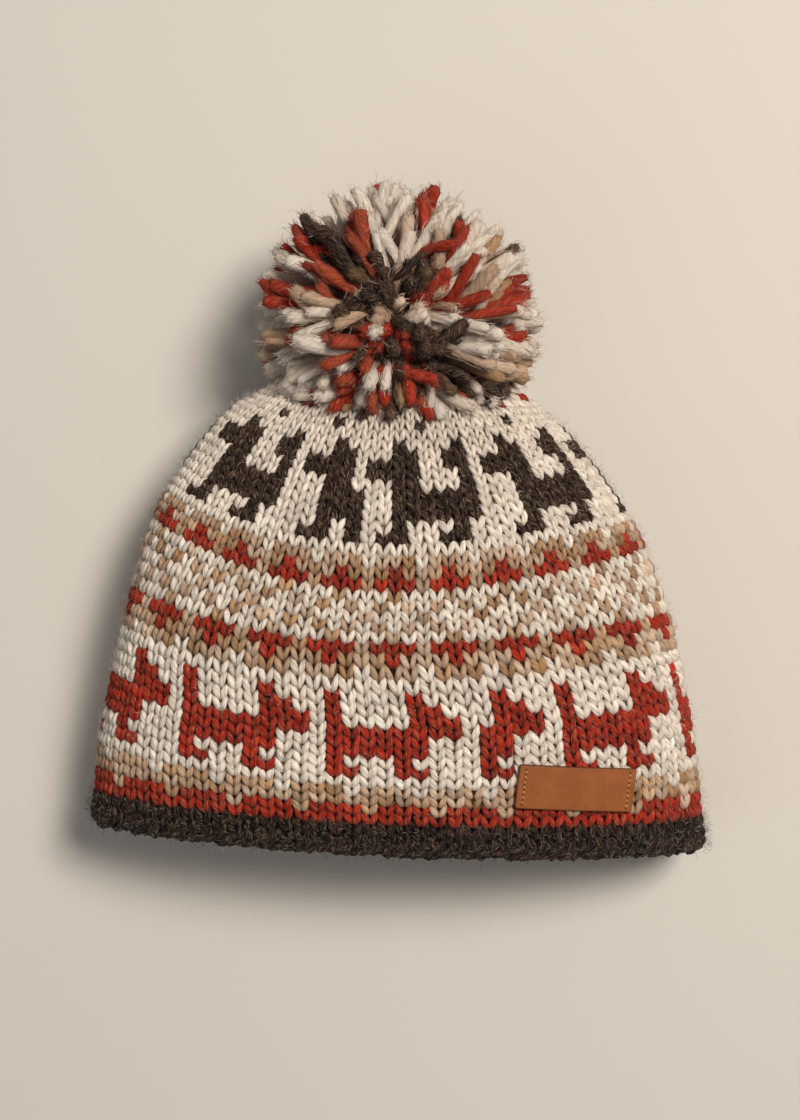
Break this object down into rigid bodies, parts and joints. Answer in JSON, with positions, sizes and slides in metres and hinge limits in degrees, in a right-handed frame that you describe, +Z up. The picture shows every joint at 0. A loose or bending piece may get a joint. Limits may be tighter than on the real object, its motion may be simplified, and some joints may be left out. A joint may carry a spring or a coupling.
{
  "type": "pom-pom hat",
  "caption": "Knitted pom-pom hat lying on its back, with a hollow puffed wall, a rolled dark edging, bands of knitted figures, a small leather tab and a yarn pom-pom.",
  "frame": {"origin": "on the table under the middle of the hat's overall box, as it lies on its back", "axes": "+Z up out of the front panel, +Y from the hem to the pom-pom, +X to the right seen from above"},
  "size_m": [0.2202, 0.2375, 0.0953],
  "materials": {
    "patterned_knit": "matte wool knit, cream with red, tan and dark brown figures",
    "dark_knit": "matte heathered dark brown wool",
    "mixed_yarn": "matte cut wool yarn, cream, red, tan and dark brown",
    "tan_leather": "smooth tan leather with a low sheen"
  },
  "bodies": {
    "root": {"hat_body": "patterned_knit", "hem_edging": "dark_knit", "pom_pom": "mixed_yarn", "leather_label": "tan_leather"}
  },
  "joints": []
}
